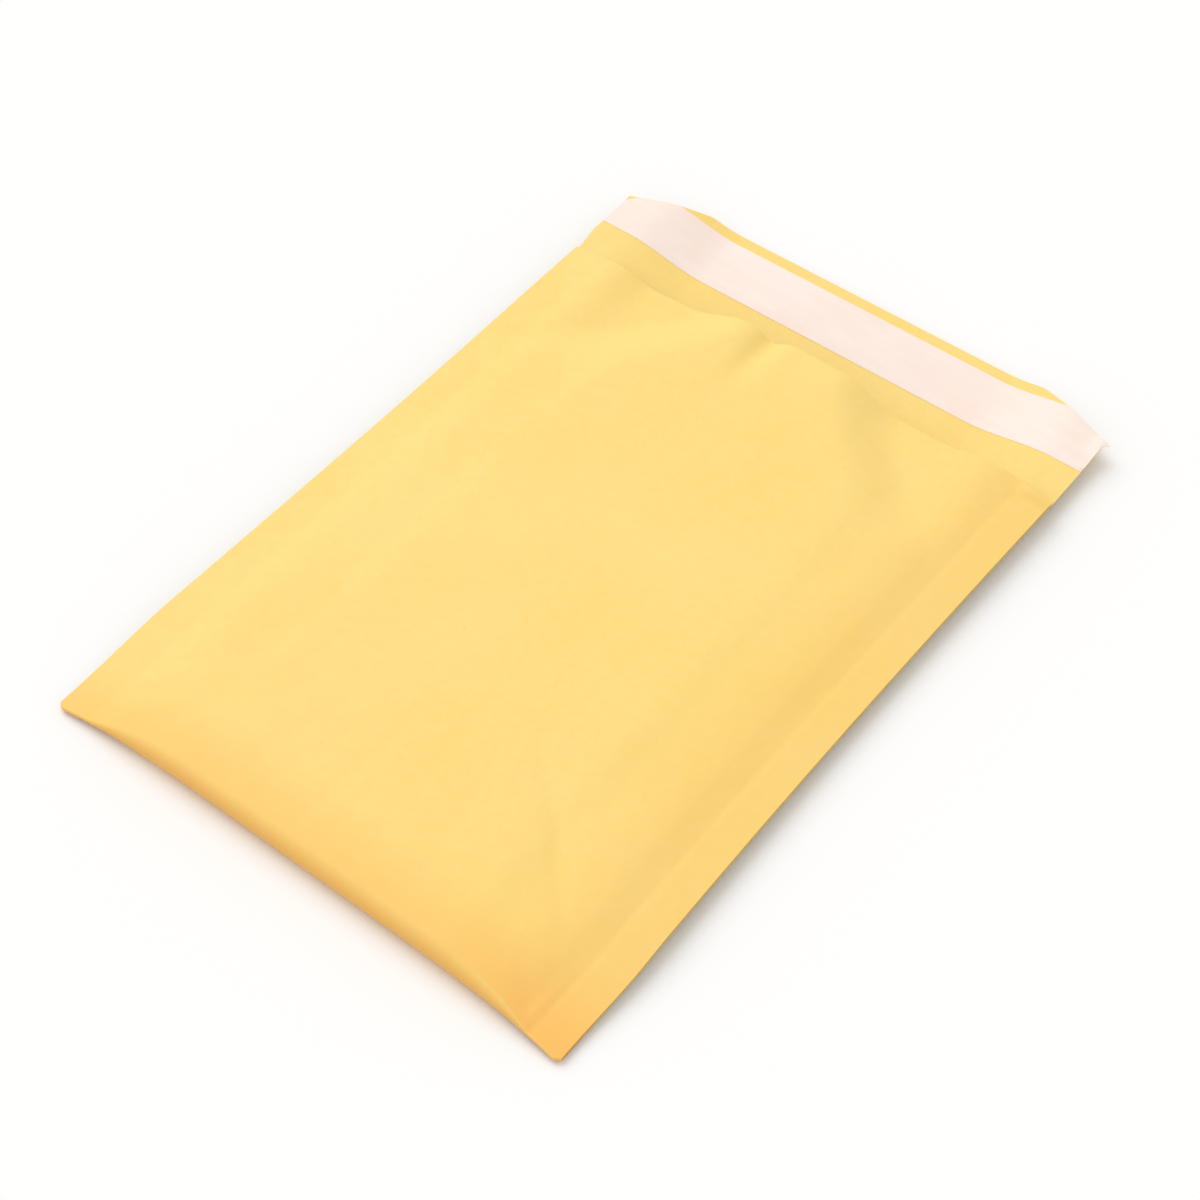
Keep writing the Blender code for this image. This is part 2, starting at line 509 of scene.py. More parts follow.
    def front_height(self, x: float, y: float) -> float:
        """Height of the front paper's middle above the table."""
        return self.back_height(x, y) + self.thickness(x, y) + self.relief(x, y)

    def placed(self, x: float, y: float, z: float) -> Vector:
        """A flat point in the frame, with its side drawn in as its place along the sheet asks."""
        across = x * (1 - self.draw(x, y) / self.half) - self.strip_overhang / 2
        return Vector((across, y - self.flap_end / 2, z))

    def fold_point(self, x: float, angle: float, inset: float) -> Vector:
        """A point on the bottom fold.

        Args:
            x: place across the sheet.
            angle: 0 on the outermost line, a right angle up or down where a panel starts.
            inset: distance inwards from the paper's middle.

        Returns:
            The point in the frame.
        """
        radius = self.fold_radius(x)
        start = self.panel_start(x)
        upper = smooth_step(angle, 0.0, math.pi / 2)
        middle = self.back_height(x, start) + radius
        reach = radius - inset
        z = middle + reach * math.sin(angle) + self.relief(x, start) * upper
        return self.placed(x, start - reach * math.cos(angle), z)


class Sheet(Enum):
    """The side of a folded sheet that a row of points lies on."""

    FRONT = "front"
    FOLD = "fold"
    BACK = "back"
    FLAP = "flap"


def mapped_grid(
    across: int,
    along: int,
    point: PointOf,
    painted_shade: Optional[ShareOf] = None,
) -> bmesh.types.BMesh:
    """Makes a grid and moves its vertices to their places.

    Args:
        across: number of vertices in a row.
        along: number of rows.
        point: gives the place of a column and a row.
        painted_shade: gives the share of painted shade there, an orange tone that stands in for shade, which
            is kept on the mesh for its finish.

    Returns:
        The open grid.
    """
    mesh = bmesh.new()
    layer = mesh.verts.layers.float.new(PAINTED_SHADE_LAYER) if painted_shade else None
    bmesh.ops.create_grid(mesh, x_segments=across - 1, y_segments=along - 1, size=1.0)
    for vertex in mesh.verts:
        column = round((vertex.co.x + 1) / 2 * (across - 1))
        row = round((vertex.co.y + 1) / 2 * (along - 1))
        vertex.co = point(column, row)
        if painted_shade:
            vertex[layer] = painted_shade(column, row)
    return mesh


def thicken(mesh: bmesh.types.BMesh, wall: float) -> None:
    """Gives an open sheet a wall, half of it to each side, and turns all faces outwards.

    Args:
        mesh: the open sheet.
        wall: its thickness.
    """
    mesh.normal_update()
    for vertex in mesh.verts:
        vertex.co += vertex.normal * (wall / 2)
    bmesh.ops.solidify(mesh, geom=mesh.faces[:], thickness=wall)
    bmesh.ops.recalc_face_normals(mesh, faces=mesh.faces[:])


def finished_piece(mesh: bmesh.types.BMesh, name: str, material: bpy.types.Material) -> bpy.types.Object:
    """Turns a mesh into a piece of the scene, smooth but for its cut edges.

    Args:
        mesh: the closed mesh, which is freed.
        name: the piece's name.
        material: its finish.

    Returns:
        The new object.
    """
    data = bpy.data.meshes.new(name)
    mesh.to_mesh(data)
    mesh.free()
    data.shade_smooth()
    data.set_sharp_from_angle(angle=SHARP_ANGLE)
    data.materials.append(material)
    piece = bpy.data.objects.new(name, data)
    bpy.context.scene.collection.objects.link(piece)
    return piece


def stand_for(piece: bpy.types.Object, node: str) -> None:
    """Puts a piece in the place of a frame node.

    Args:
        piece: the visible piece.
        node: the node that it stands for.
    """
    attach(piece, "root")
    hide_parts(node)
    log.info("%s: %d vertices, %d faces", piece.name, len(piece.data.vertices), len(piece.data.polygons))


@dataclass(frozen=True)
class OuterPaper:
    """The golden paper: front panel, bottom fold, back panel and flap, as one sheet."""

    form: EnvelopeForm
    wall: float = 0.00018
    shoulder_start: float = 0.065
    middle_columns: int = 112
    shoulder_columns: int = 20
    seam_columns: int = 9
    corner_columns: int = 4
    mouth_stop: float = 0.04
    mouth_rows: int = 10
    front_rows: int = 128
    fold_stop: float = 0.93
    beside_fold_rows: int = 12
    fold_rows: int = 14
    under_fold_stop: float = 0.94
    under_fold_rows: int = 4
    back_rows: int = 36
    flap_rows: int = 22
    back_cockle: float = 0.00025
    back_cockle_wave: Span = (0.035, 0.050)
    back_cockle_ends: float = 0.1
    back_cockle_sides: float = 0.02
    # Painted shade: shares of an orange tone that stands in for the shade on the bottom fold and its turn,
    # beside the fold, on the low front, on the right slope and in the lower right corner.
    fold_painted_shade: float = 0.95
    turn_painted_shade: float = 0.46
    painted_shade_reach: float = 0.020
    low_painted_shade: float = 0.08
    slope_painted_shade: float = 0.26
    slope_start: float = 0.045
    corner_painted_shade: float = 0.22

    def columns(self) -> list[float]:
        """Stations across the sheet, closest together beside the seams."""
        form = self.form
        straight = form.half - form.corner_round
        stops = (0.0, self.shoulder_start, form.seam, straight, form.half)
        steps = (self.middle_columns // 2, self.shoulder_columns, self.seam_columns, self.corner_columns)
        right = stations(stops, steps)
        return [-x for x in reversed(right[1:])] + right

    def rows(self) -> list[tuple[Sheet, float]]:
        """Every row of the sheet: the side that it lies on, and its share or its angle there."""
        front_steps = (self.mouth_rows, self.front_rows, self.beside_fold_rows)
        front = stations((0.0, self.mouth_stop, self.fold_stop, 1.0), front_steps)
        turn = [math.pi / 2 - math.pi * i / self.fold_rows for i in range(1, self.fold_rows)]
        back = stations((1.0, self.under_fold_stop, 0.0), (self.under_fold_rows, self.back_rows))
        flap = stations((0.0, 1.0), (self.flap_rows,))[1:]
        sides = ((Sheet.FRONT, front), (Sheet.FOLD, turn), (Sheet.BACK, back), (Sheet.FLAP, flap))
        return [(side, share) for side, shares in sides for share in shares]

    def point(self, x: float, side: Sheet, share: float) -> Vector:
        """A point on the middle of the sheet.

        Args:
            x: place across the sheet.
            side: the side that the point lies on.
            share: share of the way from the mouth on a panel or the flap, or the angle on the fold.

        Returns:
            The point in the frame.
        """
        form = self.form
        mouth = form.pocket_length
        if side is Sheet.FOLD:
            return form.fold_point(x, share, 0.0)
        if side is Sheet.FLAP:
            y = blend(mouth, form.flap_edge(x), share)
            dent = sum(crease.height(x, y) for crease in FLAP_CREASES)
            return form.placed(x, y, form.back_height(x, y) + dent)
        y = blend(mouth, form.panel_start(x), share)
        if side is Sheet.FRONT:
            return form.placed(x, y, form.front_height(x, y))
        ends = self.back_cockle_ends
        lifted = smooth_step(share, 0.0, ends) * smooth_step(1 - share, 0.0, ends)
        lifted *= smooth_step(form.seam - abs(x), 0.0, self.back_cockle_sides)
        wave = soft_noise(x, y, *self.back_cockle_wave, Seed.BACK_COCKLE)
        cockle = self.back_cockle * lifted * (1 + wave)
        return form.placed(x, y, form.back_height(x, y) + cockle)

    def painted_shade(self, x: float, side: Sheet, share: float) -> float:
        """Share of painted shade, an orange tone standing in for shade: fullest on the bottom fold, and less
        beside the right seam.

        Args:
            x: place across the sheet.
            side: the side that the point lies on.
            share: share of the way from the mouth on a panel or the flap, or the angle on the fold.

        Returns:
            The share, from 0 to 1.
        """
        form = self.form
        if side is Sheet.FOLD:
            return self.fold_painted_shade * blend(1.0, self.turn_painted_shade, smooth_step(share, 0.0, math.pi / 2))
        if side is Sheet.FLAP:
            return 0.0
        # Painted shade beside the fold, towards the bottom of the front, on the right slope and in the lower
        # right corner, where the panel faces away from the light.
        from_fold = (form.pocket_length - form.panel_start(x)) * (1 - share)
        beside = self.fold_painted_shade * self.turn_painted_shade * (1 - smooth_step(from_fold, 0.0, self.painted_shade_reach))
        if side is Sheet.BACK:
            return max(beside, self.fold_painted_shade * (1 - smooth_step(from_fold, 0.0, self.painted_shade_reach)))
        low = self.low_painted_shade * (1 - smooth_step(from_fold, 0.0, form.pocket_length / 2))
        slope = self.slope_painted_shade * smooth_step(x, self.slope_start, form.seam)
        corner = self.corner_painted_shade * smooth_step(x, self.slope_start, form.half)
        corner *= 1 - smooth_step(from_fold, 0.0, self.slope_start)
        return min(1.0, beside + low + slope + corner)

    def build(self, material: bpy.types.Material) -> None:
        """Makes the paper and puts it in the place of its node.

        Args:
            material: the piece's finish.
        """
        across = self.columns()
        along = self.rows()

        def point(column: int, row: int) -> Vector:
            """The place of a column and a row."""
            return self.point(across[column], *along[row])

        def painted_shade(column: int, row: int) -> float:
            """The painted shade at a column and a row."""
            return self.painted_shade(across[column], *along[row])

        mesh = mapped_grid(len(across), len(along), point, painted_shade)
        thicken(mesh, self.wall)
        piece = finished_piece(mesh, "outer_paper_sheet", material)
        stand_for(piece, "outer_paper")


@dataclass(frozen=True)
class BubbleLining:
    """The film inside the pocket: one folded web, crushed in the seams, with bubbles towards the goods."""

    form: EnvelopeForm
    film: float = 0.0001
    setback: float = 0.003
    side_margin: float = 0.0006
    columns: int = 72
    seam_columns: int = 3
    panel_rows: int = 60
    fold_rows: int = 8
    bubble_width: float = 0.0098
    bubble_height: float = 0.0021
    bubble_pitch: float = 0.0114
    bubble_sides: int = 10
    bubble_rings: int = 5
    edge_space: float = 0.0065
    height_kept: float = 0.85
    flat_top: float = 0.55

    def web_point(self, x: float, side: Sheet, share: float) -> Vector:
        """A point on the middle of the film.

        Args:
            x: place across the web.
            side: the side that the point lies on.
            share: share of the way from the lip on a panel, or the angle on the fold.

        Returns:
            The point in the frame.
        """
        form = self.form
        inset = form.skin + self.film / 2
        if side is Sheet.FOLD:
            return form.fold_point(x, share, min(inset, form.fold_radius(x) - self.film))
        y = blend(form.pocket_length - self.setback, form.panel_start(x), share)
        if side is Sheet.FRONT:
            return form.placed(x, y, form.front_height(x, y) - inset)
        return form.placed(x, y, form.back_height(x, y) + inset + OuterPaper.back_cockle)

    def web(self) -> bmesh.types.BMesh:
        """The folded web of film, with its wall."""
        reach = self.form.half - self.side_margin
        steps = (self.seam_columns, self.columns, self.seam_columns)
        across = stations((-reach, -self.form.seam, self.form.seam, reach), steps)
        panel = stations((0.0, 1.0), (self.panel_rows,))
        turn = [math.pi / 2 - math.pi * i / self.fold_rows for i in range(1, self.fold_rows)]
        along = [(Sheet.FRONT, share) for share in panel]
        along += [(Sheet.FOLD, angle) for angle in turn]
        along += [(Sheet.BACK, share) for share in reversed(panel)]

        def point(column: int, row: int) -> Vector:
            """The place of a column and a row."""
            return self.web_point(across[column], *along[row])

        mesh = mapped_grid(len(across), len(along), point)
        thicken(mesh, self.film)
        return mesh

    def bubble_places(self) -> list[FlatPoint]:
        """The middles of the bubbles on one panel, in staggered rows."""
        form = self.form
        rise = self.bubble_pitch * math.sqrt(3) / 2
        top = form.pocket_length - self.setback - self.edge_space
        reach = form.seam - self.edge_space
        count = int((top - form.panel_start(0.0) - self.edge_space) / rise)
        per_side = int(reach / self.bubble_pitch)
        places = []
        for row in range(count + 1):
            shift = self.bubble_pitch / 2 * (row % 2)
            for step in range(-per_side, per_side + 1):
                x = step * self.bubble_pitch + shift
                if abs(x) <= reach:
                    places.append((x, top - row * rise))
        return places

    def shape_bubble(self, verts: Sequence[bmesh.types.BMVert], x: float, y: float, side: Sheet) -> None:
        """Turns a plain ball into one flat-topped bubble on the web's inner face.

        Args:
            verts: the ball's vertices, within 1 of its middle.
            x: the bubble's middle across the web.
            y: the bubble's middle along the web.
            side: the panel that it is on.
        """
        form = self.form
        inner = form.skin + self.film
        room = form.thickness(x, y) / 2 - inner - OuterPaper.back_cockle
        height = min(self.bubble_height, self.height_kept * room)
        for vertex in verts:
            flat = math.hypot(vertex.co.x, vertex.co.y)
            swollen = flat ** (self.flat_top - 1) if flat > self.film else 0.0
            px = x + vertex.co.x * swollen * self.bubble_width / 2
            py = y + vertex.co.y * swollen * self.bubble_width / 2
            rise = max(-self.film / 3, vertex.co.z * height)
            if side is Sheet.FRONT:
                z = form.front_height(px, py) - inner - rise
            else:
                z = form.back_height(px, py) + OuterPaper.back_cockle + inner + rise
            vertex.co = form.placed(px, py, z)

    def ball(self) -> bpy.types.Mesh:
        """The plain ball that every bubble starts from."""
        mesh = bmesh.new()
        sides, rings = self.bubble_sides, self.bubble_rings
        bmesh.ops.create_uvsphere(mesh, u_segments=sides, v_segments=rings, radius=1.0)
        data = bpy.data.meshes.new("bubble_ball")
        mesh.to_mesh(data)
        mesh.free()
        return data

    def build(self, material: bpy.types.Material) -> None:
        """Makes the lining and puts it in the place of its node.

        Args:
            material: the piece's finish.
        """
        mesh = self.web()
        first = len(mesh.verts)
        ball = self.ball()
        each = len(ball.vertices)
        bubbles = [(x, y, side) for side in (Sheet.FRONT, Sheet.BACK) for x, y in self.bubble_places()]
        for _ in bubbles:
            mesh.from_mesh(ball)
        bpy.data.meshes.remove(ball)
        mesh.verts.ensure_lookup_table()
        for index, (x, y, side) in enumerate(bubbles):
            start = first + index * each
            self.shape_bubble(mesh.verts[start : start + each], x, y, side)
        bmesh.ops.recalc_face_normals(mesh, faces=mesh.faces[:])
        piece = finished_piece(mesh, "bubble_lining_film", material)
        stand_for(piece, "bubble_lining")


@dataclass(frozen=True)
class FlapBand:
    """What the glue and its cover share: a thin band that follows the flap's inner face."""

    form: EnvelopeForm
    strip_width: float = 0.020
    strip_inset: float = 0.004
    edge_margin: float = 0.0002
    columns: int = 150
    rows: int = 16

    @property
    def strip_end(self) -> float:
        """The peel-off strip's far edge along the sheet."""
        return self.form.flap_end - self.strip_inset

    @property
    def strip_start(self) -> float:
        """The peel-off strip's near edge along the sheet."""
        return self.strip_end - self.strip_width

    def cut_end(self, x: float) -> float:
        """The far edge of a band that was cut off with the flap's corners."""
        return min(self.strip_end, self.form.flap_edge(x) - self.edge_margin)

    def band(
        self,
        across: Sequence[float],
        edges: Callable[[float], FlatPoint],
        lift: Callable[[float, float], float],
    ) -> bmesh.types.BMesh:
        """Makes an open band.

        Args:
            across: stations from the band's left to its right end.
            edges: gives the near and the far edge at a place across.
            lift: gives the height of a place above the middle of the flap's paper.

        Returns:
            The open band.
        """
        along = stations((0.0, 1.0), (self.rows,))

        def point(column: int, row: int) -> Vector:
            """The place of a column and a row."""
            x = across[column]
            near, far = edges(x)
            y = blend(near, far, along[row])
            return self.form.placed(x, y, self.form.back_height(x, y) + lift(x, y))

        return mapped_grid(len(across), len(along), point)


@dataclass(frozen=True)
class GlueBand(FlapBand):
    """The band of clear glue on the flap."""

    layer: float = 0.00008
    gap: float = 0.00003
    margin_along: float = 0.0018
    margin_across: float = 0.003
    unevenness: float = 0.00002
    unevenness_wave: float = 0.004
    edge_wander: float = 0.0002
    edge_wander_wave: float = 0.012

    def edges(self, x: float) -> FlatPoint:
        """The near and the far edge of the glue, a little uneven as it was rolled on.

        Args:
            x: place across the sheet.

        Returns:
            Both places along the sheet.
        """
        wave = self.edge_wander_wave
        wander = self.edge_wander * soft_noise(x, 0.0, wave, wave, Seed.GLUE_EDGE)
        return (
            self.strip_start + self.margin_along + wander,
            self.cut_end(x) - self.margin_along + wander,
        )

    def lift(self, x: float, y: float) -> float:
        """Height of the glue's middle above the middle of the flap's paper.

        Args:
            x: place across the sheet.
            y: place along the sheet.

        Returns:
            The height.
        """
        wave = self.unevenness_wave
        uneven = self.unevenness * soft_noise(x, y, wave, wave, Seed.GLUE_FACE)
        return OuterPaper.wall / 2 + self.gap + self.layer / 2 + uneven

    def build(self, material: bpy.types.Material) -> None:
        """Makes the glue and puts it in the place of its node.

        Args:
            material: the piece's finish.
        """
        reach = self.form.half - self.margin_across
        mesh = self.band(stations((-reach, reach), (self.columns,)), self.edges, self.lift)
        thicken(mesh, self.layer)
        piece = finished_piece(mesh, "glue_layer", material)
        stand_for(piece, "glue_band")


@dataclass(frozen=True)
class PeelStrip(FlapBand):
    """The pale pink release strip, cut with the flap at both ends, with a small tip over its right end."""

    wall: float = 0.00009
    over_glue: float = 0.00027
    beside_glue: float = 0.00016
    beside_glue_width: float = 0.0016
    tip_columns: int = 10
    tip_point: float = 0.12
    tip_lift: float = 0.0012
    tip_lift_start: float = 0.004
    left_round: float = 0.004
    left_round_depth: float = 0.0022
    wave: float = 0.00004
    wave_size: Span = (0.016, 0.030)

    def edges(self, x: float) -> FlatPoint:
        """The near and the far edge of the strip, with its pointed right tip and its rounded left corner.

        Args:
            x: place across the sheet.

        Returns:
            Both places along the sheet.
        """
        half = self.form.half
        near = self.strip_start
        far = self.cut_end(x)
        past = max(0.0, x - half) / self.form.strip_overhang
        near += (far - self.edge_margin - near) * past**self.tip_point if past > 0 else 0.0
        left = max(0.0, self.left_round - (x + half)) / self.left_round
        return near, far - self.left_round_depth * left**2

    def lift(self, x: float, y: float) -> float:
        """Height of the strip's middle above the middle of the flap's paper.

        Args:
            x: place across the sheet.
            y: place along the sheet.

        Returns:
            The height.
        """
        near, far = self.edges(x)
        inside = smooth_step(min(y - near, far - y), 0.0, self.beside_glue_width)
        slack = self.wave * inside * (1 + soft_noise(x, y, *self.wave_size, Seed.STRIP_WAVE))
        tip = self.tip_lift * smooth_step(x, self.form.half - self.tip_lift_start, self.form.half)
        tip *= smooth_step(y, self.strip_start, self.strip_end)
        return blend(self.beside_glue, self.over_glue, inside) + slack + tip

    def build(self, material: bpy.types.Material) -> None:
        """Makes the strip and puts it in the place of its node.

        Args:
            material: the piece's finish.
        """
        half = self.form.half
        stops = (-half, half, half + self.form.strip_overhang)
        mesh = self.band(stations(stops, (self.columns, self.tip_columns)), self.edges, self.lift)
        thicken(mesh, self.wall)
        piece = finished_piece(mesh, "release_strip", material)
        stand_for(piece, "peel_strip")


Operand = Union["Signal", float]


class Signal:
    """A node's output that takes part in sums, so that a pattern's maths reads as an expression."""

    def __init__(self, bench: "ShaderBench", socket: bpy.types.NodeSocket) -> None:
        """Wraps an output socket of a bench's tree."""
        self.bench = bench
        self.socket = socket

    def combined(self, operation: str, first: Operand, second: Operand) -> "Signal":
        """Adds a Math node.

        Args:
            operation: the Math node's operation.
            first: its first value.
            second: its second value.

        Returns:
            The node's result.
        """
        node = self.bench.node("ShaderNodeMath", {"operation": operation}, {0: first, 1: second})
        return Signal(self.bench, node.outputs[0])

    def __add__(self, other: Operand) -> "Signal":
        """Sum with the other on the right."""
        return self.combined("ADD", self, other)

    def __radd__(self, other: Operand) -> "Signal":
        """Sum with the other on the left."""
        return self.combined("ADD", other, self)

    def __sub__(self, other: Operand) -> "Signal":
        """Difference with the other on the right."""
        return self.combined("SUBTRACT", self, other)

    def __rsub__(self, other: Operand) -> "Signal":
        """Difference with the other on the left."""
        return self.combined("SUBTRACT", other, self)

    def __mul__(self, other: Operand) -> "Signal":
        """Product with the other on the right."""
        return self.combined("MULTIPLY", self, other)

    def __rmul__(self, other: Operand) -> "Signal":
        """Product with the other on the left."""
        return self.combined("MULTIPLY", other, self)

    def highest(self, other: Operand) -> "Signal":
        """The larger of the two."""
        return self.combined("MAXIMUM", self, other)


SocketKey = Union[str, int]
SocketValue = Union[Signal, float, Sequence[float]]


class ShaderBench:
    """A node tree, with the few calls that the finishes and the sky need."""

    def __init__(self, tree: bpy.types.NodeTree) -> None:
        """Takes up a tree."""
        self.tree = tree

    def connect(self, node: bpy.types.Node, sockets: Mapping[SocketKey, SocketValue]) -> None:
        """Sets or links a node's inputs.

        Args:
            node: the node.
            sockets: a value or a signal for each named or numbered input.
        """
        for key, value in sockets.items():
            if isinstance(value, Signal):
                self.tree.links.new(value.socket, node.inputs[key])
            else:
                node.inputs[key].default_value = value

    def node(
        self,
        kind: str,
        settings: Optional[Mapping[str, Any]] = None,
        sockets: Optional[Mapping[SocketKey, SocketValue]] = None,
    ) -> bpy.types.Node:
        """Adds a node.

        Args:
            kind: the node's type.
            settings: its own settings, which are set first.
            sockets: a value or a signal for each input.

        Returns:
            The new node.
        """
        node = self.tree.nodes.new(kind)
        for key, value in (settings or {}).items():
            setattr(node, key, value)
        self.connect(node, sockets or {})
        return node

    def signal(self, node: bpy.types.Node, output: SocketKey = 0) -> Signal:
        """One output of a node, as a signal."""
        return Signal(self, node.outputs[output])

    def place(self, stretch: Axes = (1.0, 1.0, 1.0)) -> Signal:
        """Object coordinates, stretched along each axis."""
        source = self.signal(self.node("ShaderNodeTexCoord"), "Object")
        return self.signal(self.node("ShaderNodeMapping", None, {"Vector": source, "Scale": stretch}))

    def layer(self, name: str) -> Signal:
        """A number kept on the piece's own mesh."""
        return self.signal(self.node("ShaderNodeAttribute", {"attribute_name": name}), "Fac")

    def noise(self, place: Signal, wave: float, detail: float = 3.0, roughness: float = 0.5) -> Signal:
        """Smooth noise from 0 to 1.

        Args:
            place: the coordinates to read it at.
            wave: the length of its widest wave in metres.
            detail: the number of finer waves on top.
            roughness: how strong the finer waves are.

        Returns:
            The noise.
        """
        sockets = {"Vector": place, "Scale": 1 / wave, "Detail": detail, "Roughness": roughness}
        return self.signal(self.node("ShaderNodeTexNoise", None, sockets), "Fac")

    def between(self, value: Signal, low: float, high: float) -> Signal:
        """Stretches a value's range from low to high onto 0 to 1, with soft ends.

        Args:
            value: the value.
            low: what becomes 0.
            high: what becomes 1.

        Returns:
            The stretched value.
        """
        settings = {"interpolation_type": "SMOOTHSTEP"}
        node = self.node("ShaderNodeMapRange", settings, {"Value": value, 1: low, 2: high})
        return self.signal(node)

    def mixed(self, share: Signal, first: Union[Signal, Colour], second: Union[Signal, Colour]) -> Signal:
        """Mixes two colours.

        Args:
            share: 0 for the first colour, 1 for the second.
            first: a colour or a signal that carries one.
            second: a colour or a signal that carries one.

        Returns:
            The mixed colour.
        """
        first = first if isinstance(first, Signal) else (*first, 1.0)
        second = second if isinstance(second, Signal) else (*second, 1.0)
        node = self.node("ShaderNodeMix", {"data_type": "RGBA"}, {0: share, 6: first, 7: second})
        return self.signal(node, 2)

    def bump(self, height: Signal, depth: float, under: Optional[Signal] = None) -> Signal:
        """Turns a height from 0 to 1 into a surface normal.

        Args:
            height: the height.
            depth: what a height of 1 measures in metres.
            under: the normal of a coarser bump below it.

        Returns:
            The bumped normal.
        """
        sockets: dict[SocketKey, SocketValue] = {"Height": height, "Distance": depth}
        if under is not None:
            sockets["Normal"] = under
        return self.signal(self.node("ShaderNodeBump", None, sockets))


class FinishBench(ShaderBench):
    """A new material's node tree, with its surface shader."""

    def __init__(self, name: str) -> None:
        """Starts a material with nothing but its output and its surface shader.

        Args:
            name: the material's name.
        """
        self.material = bpy.data.materials.new(name)
        self.material.use_nodes = True
        super().__init__(self.material.node_tree)
        self.shader = self.tree.nodes["Principled BSDF"]


@dataclass(frozen=True)
class EnvelopePaperFinish:
    """Smooth golden wrapping paper: soft clouds, the flock of its fibres, and a matt calendered face, with
    shade painted in a deeper orange on the fold and the right slope.
    """

    golden: Colour = (0.985, 0.732, 0.240)
    deep_golden: Colour = (0.985, 0.700, 0.198)
    # The orange that painted shade mixes in, standing in for the shade on the bottom fold and the right
    # slope.
    painted_shade_tone: Colour = (1.0, 0.545, 0.130)
    fleck: Colour = (0.90, 0.58, 0.15)
    fleck_wave: float = 0.0009
    cloud_wave: float = 0.045
    flock_wave: float = 0.0032
    fibre_wave: float = 0.0011
    fibre_stretch: Axes = (1.0, 0.30, 1.0)
    fibre_depth: float = 0.00004
    flock_depth: float = 0.00007
    cloud_weight: float = 0.45
    flock_weight: float = 0.35
    fibre_weight: float = 0.20
    tone_span: Span = (0.36, 0.68)
    fleck_span: Span = (0.70, 0.78)
    fleck_share: float = 0.25
    roughness: float = 0.62
    roughness_swing: float = 0.12
    gloss: float = 0.30

    def make(self) -> bpy.types.Material:
        """Builds the material."""
        bench = FinishBench("envelope_paper")
        place = bench.place()
        cloud = bench.noise(place, self.cloud_wave, detail=2.0)
        flock = bench.noise(place, self.flock_wave, detail=4.0, roughness=0.6)
        along_fibres = bench.place(self.fibre_stretch)
        fibre = bench.noise(along_fibres, self.fibre_wave, roughness=0.65)
        weighed = self.cloud_weight * cloud + self.flock_weight * flock + self.fibre_weight * fibre
        tone = bench.between(weighed, *self.tone_span)
        flecks = bench.between(bench.noise(along_fibres, self.fleck_wave, detail=2.0), *self.fleck_span)
        colour = bench.mixed(tone, self.golden, self.deep_golden)
        colour = bench.mixed(self.fleck_share * flecks, colour, self.fleck)
        # Painted shade: the orange tone is mixed in by the mesh's painted shade share.
        colour = bench.mixed(bench.layer(PAINTED_SHADE_LAYER), colour, self.painted_shade_tone)
        soft = bench.bump(flock, self.flock_depth)
        normal = bench.bump(fibre, self.fibre_depth, soft)
        bench.connect(
            bench.shader,
            {
                "Base Color": colour,
                "Roughness": self.roughness + self.roughness_swing * (flock - 0.5),
                "Specular IOR Level": self.gloss,
                "Normal": normal,
            },
        )
        return bench.material


@dataclass(frozen=True)
class ReleasePaperFinish:
    """Pale pink release paper with a thin silicone face, slightly glossy and faintly streaked."""

    pale: Colour = (0.985, 0.845, 0.775)
    pink: Colour = (0.970, 0.790, 0.690)
    cloud_wave: float = 0.028
    streak_wave: float = 0.0030
    streak_stretch: Axes = (0.15, 1.0, 1.0)
    cloud_weight: float = 0.6
    streak_weight: float = 0.4
    tone_span: Span = (0.34, 0.68)
    roughness: float = 0.36
    roughness_swing: float = 0.10
    gloss: float = 0.40
    ripple_depth: float = 0.00006

    def make(self) -> bpy.types.Material:
        """Builds the material."""
        bench = FinishBench("release_paper")
        cloud = bench.noise(bench.place(), self.cloud_wave)
        streak = bench.noise(bench.place(self.streak_stretch), self.streak_wave, roughness=0.6)
        tone = bench.between(self.cloud_weight * cloud + self.streak_weight * streak, *self.tone_span)
        bench.connect(
            bench.shader,
            {
                "Base Color": bench.mixed(tone, self.pale, self.pink),
                "Roughness": self.roughness + self.roughness_swing * (streak - 0.5),
                "Specular IOR Level": self.gloss,
                "Normal": bench.bump(streak, self.ripple_depth),
            },
        )
        return bench.material


@dataclass(frozen=True)
class BubbleFilmFinish:
    """Clear soft polythene: half see-through, glossy, and milky where it was stretched."""

    clear: Colour = (0.90, 0.92, 0.93)
    milky: Colour = (0.97, 0.97, 0.96)
    stretch_wave: float = 0.006
    milk_span: Span = (0.42, 0.70)
    roughness: float = 0.16
    roughness_swing: float = 0.18
    gloss: float = 0.65
    cover: float = 0.62
    milky_cover: float = 0.24
    ripple_depth: float = 0.00012

    def make(self) -> bpy.types.Material:
        """Builds the material."""
        bench = FinishBench("bubble_film")
        stretched = bench.noise(bench.place(), self.stretch_wave, detail=4.0, roughness=0.6)
        milk = bench.between(stretched, *self.milk_span)
        bench.connect(
            bench.shader,
            {
                "Base Color": bench.mixed(milk, self.clear, self.milky),
                "Roughness": self.roughness + self.roughness_swing * milk,
                "Alpha": self.cover + self.milky_cover * milk,
                "Specular IOR Level": self.gloss,
                "Normal": bench.bump(stretched, self.ripple_depth),
            },
        )
        return bench.material


